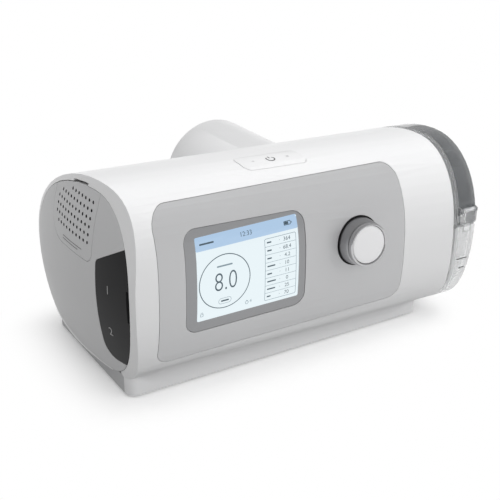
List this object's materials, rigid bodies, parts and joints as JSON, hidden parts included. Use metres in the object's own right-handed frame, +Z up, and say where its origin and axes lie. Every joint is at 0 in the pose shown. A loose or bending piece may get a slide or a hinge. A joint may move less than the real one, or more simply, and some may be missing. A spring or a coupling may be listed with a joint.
{
  "type": "bilevel positive airway pressure machine",
  "caption": "Table-top breathing machine with a colour screen, a turn-and-press knob, a start key, filter and port doors, a rear hose port and a slide-out water chamber.",
  "frame": {"origin": "middle of the footprint, on the surface it stands on", "axes": "+X along the body to the water chamber's end, +Y to the back where the hose port is, +Z up"},
  "size_m": [0.2734, 0.1752, 0.1326],
  "materials": {
    "white_plastic": "satin",
    "end_plastic": "satin",
    "silver_paint": "satin",
    "lens_print": "polished",
    "smoke_plastic": "smoked clear",
    "display": "lit",
    "board": "satin",
    "bright_metal": "brushed",
    "cap_white": "satin",
    "steel": "brushed",
    "dark_plastic": "matte",
    "fleece": "soft",
    "black_gloss": "gloss",
    "duct_plastic": "matte",
    "foam": "matte",
    "rubber": "matte",
    "rubber_grey": "matte",
    "aluminium": "satin",
    "clear_plastic": "clear"
  },
  "bodies": {
    "housing": {"front_shell": "white_plastic", "rear_shell": "white_plastic", "left_end_frame": "white_plastic", "base_tray": "white_plastic", "rubber_feet": "rubber", "base_screws": "steel", "fascia_panel": "silver_paint", "screen_lens": "lens_print", "lcd_module": "display", "main_board": "board", "encoder_body": "dark_plastic", "key_switch": "dark_plastic", "key_board": "board", "side_cover": "end_plastic", "filter_pad": "fleece", "port_panel": "dark_plastic", "data_socket": "dark_plastic", "card_socket": "dark_plastic", "inlet_duct": "duct_plastic", "inlet_foam": "foam", "blower_lower": "duct_plastic", "blower_upper": "duct_plastic", "motor_case": "steel", "blower_mounts": "rubber", "air_duct": "duct_plastic", "port_seals": "rubber", "outlet_duct": "duct_plastic", "outlet_seal": "rubber", "outlet_port": "white_plastic", "dc_inlet": "dark_plastic", "humidifier_bay": "duct_plastic", "heater_plate": "aluminium", "heater_pad": "foam"},
    "encoder_stem": {"encoder_plunger": "dark_plastic"},
    "knob": {"knob_sleeve": "bright_metal", "knob_cap": "cap_white", "knob_shaft": "steel"},
    "start_key": {"start_key": "white_plastic"},
    "filter_door": {"filter_door": "end_plastic"},
    "port_door": {"port_door": "black_gloss"},
    "rotor": {"impeller": "duct_plastic", "motor_shaft": "steel"},
    "chamber": {"chamber_tub": "clear_plastic", "chamber_base": "steel", "chamber_cover": "clear_plastic", "lid_seal": "rubber_grey", "lid_pin": "steel"},
    "lid": {"chamber_lid": "smoke_plastic", "latch_pin": "steel"},
    "latch": {"chamber_latch": "clear_plastic"}
  },
  "joints": [
    {"name": "knob_press", "type": "slide", "parent": "housing", "child": "encoder_stem", "axis": [0, 0.9962, -0.0872], "range_m": [0, 0.0008], "stiffness_N_per_m": 2000},
    {"name": "knob_turn", "type": "hinge", "parent": "encoder_stem", "child": "knob", "pos_m": [0.02875, -0.07521, 0.079], "axis": [0, -0.9962, 0.0872], "continuous": true},
    {"name": "key_press", "type": "slide", "parent": "housing", "child": "start_key", "axis": [0, 0, -1], "range_m": [0, 0.0006], "stiffness_N_per_m": 2000},
    {"name": "filter_door_swing", "type": "hinge", "parent": "housing", "child": "filter_door", "pos_m": [-0.13565, -0.00631, 0.08505], "axis": [0, -1, 0], "range_deg": [0, 70]},
    {"name": "port_door_swing", "type": "hinge", "parent": "housing", "child": "port_door", "pos_m": [-0.13355, -0.03926, 0.058], "axis": [0, 0, -1], "range_deg": [0, 100]},
    {"name": "rotor_spin", "type": "hinge", "parent": "housing", "child": "rotor", "pos_m": [-0.05125, 0.00469, 0.05], "axis": [0, 0, 1], "continuous": true},
    {"name": "chamber_slide", "type": "slide", "parent": "housing", "child": "chamber", "axis": [1, 0, 0], "range_m": [0, 0.085]},
    {"name": "lid_swing", "type": "hinge", "parent": "chamber", "child": "lid", "pos_m": [0.11675, 0.07289, 0.0705], "axis": [-1, 0, 0], "range_deg": [0, 75]},
    {"name": "latch_swing", "type": "hinge", "parent": "lid", "child": "latch", "pos_m": [0.11775, -0.07591, 0.0814], "axis": [-1, 0, 0], "range_deg": [0, 40]}
  ]
}
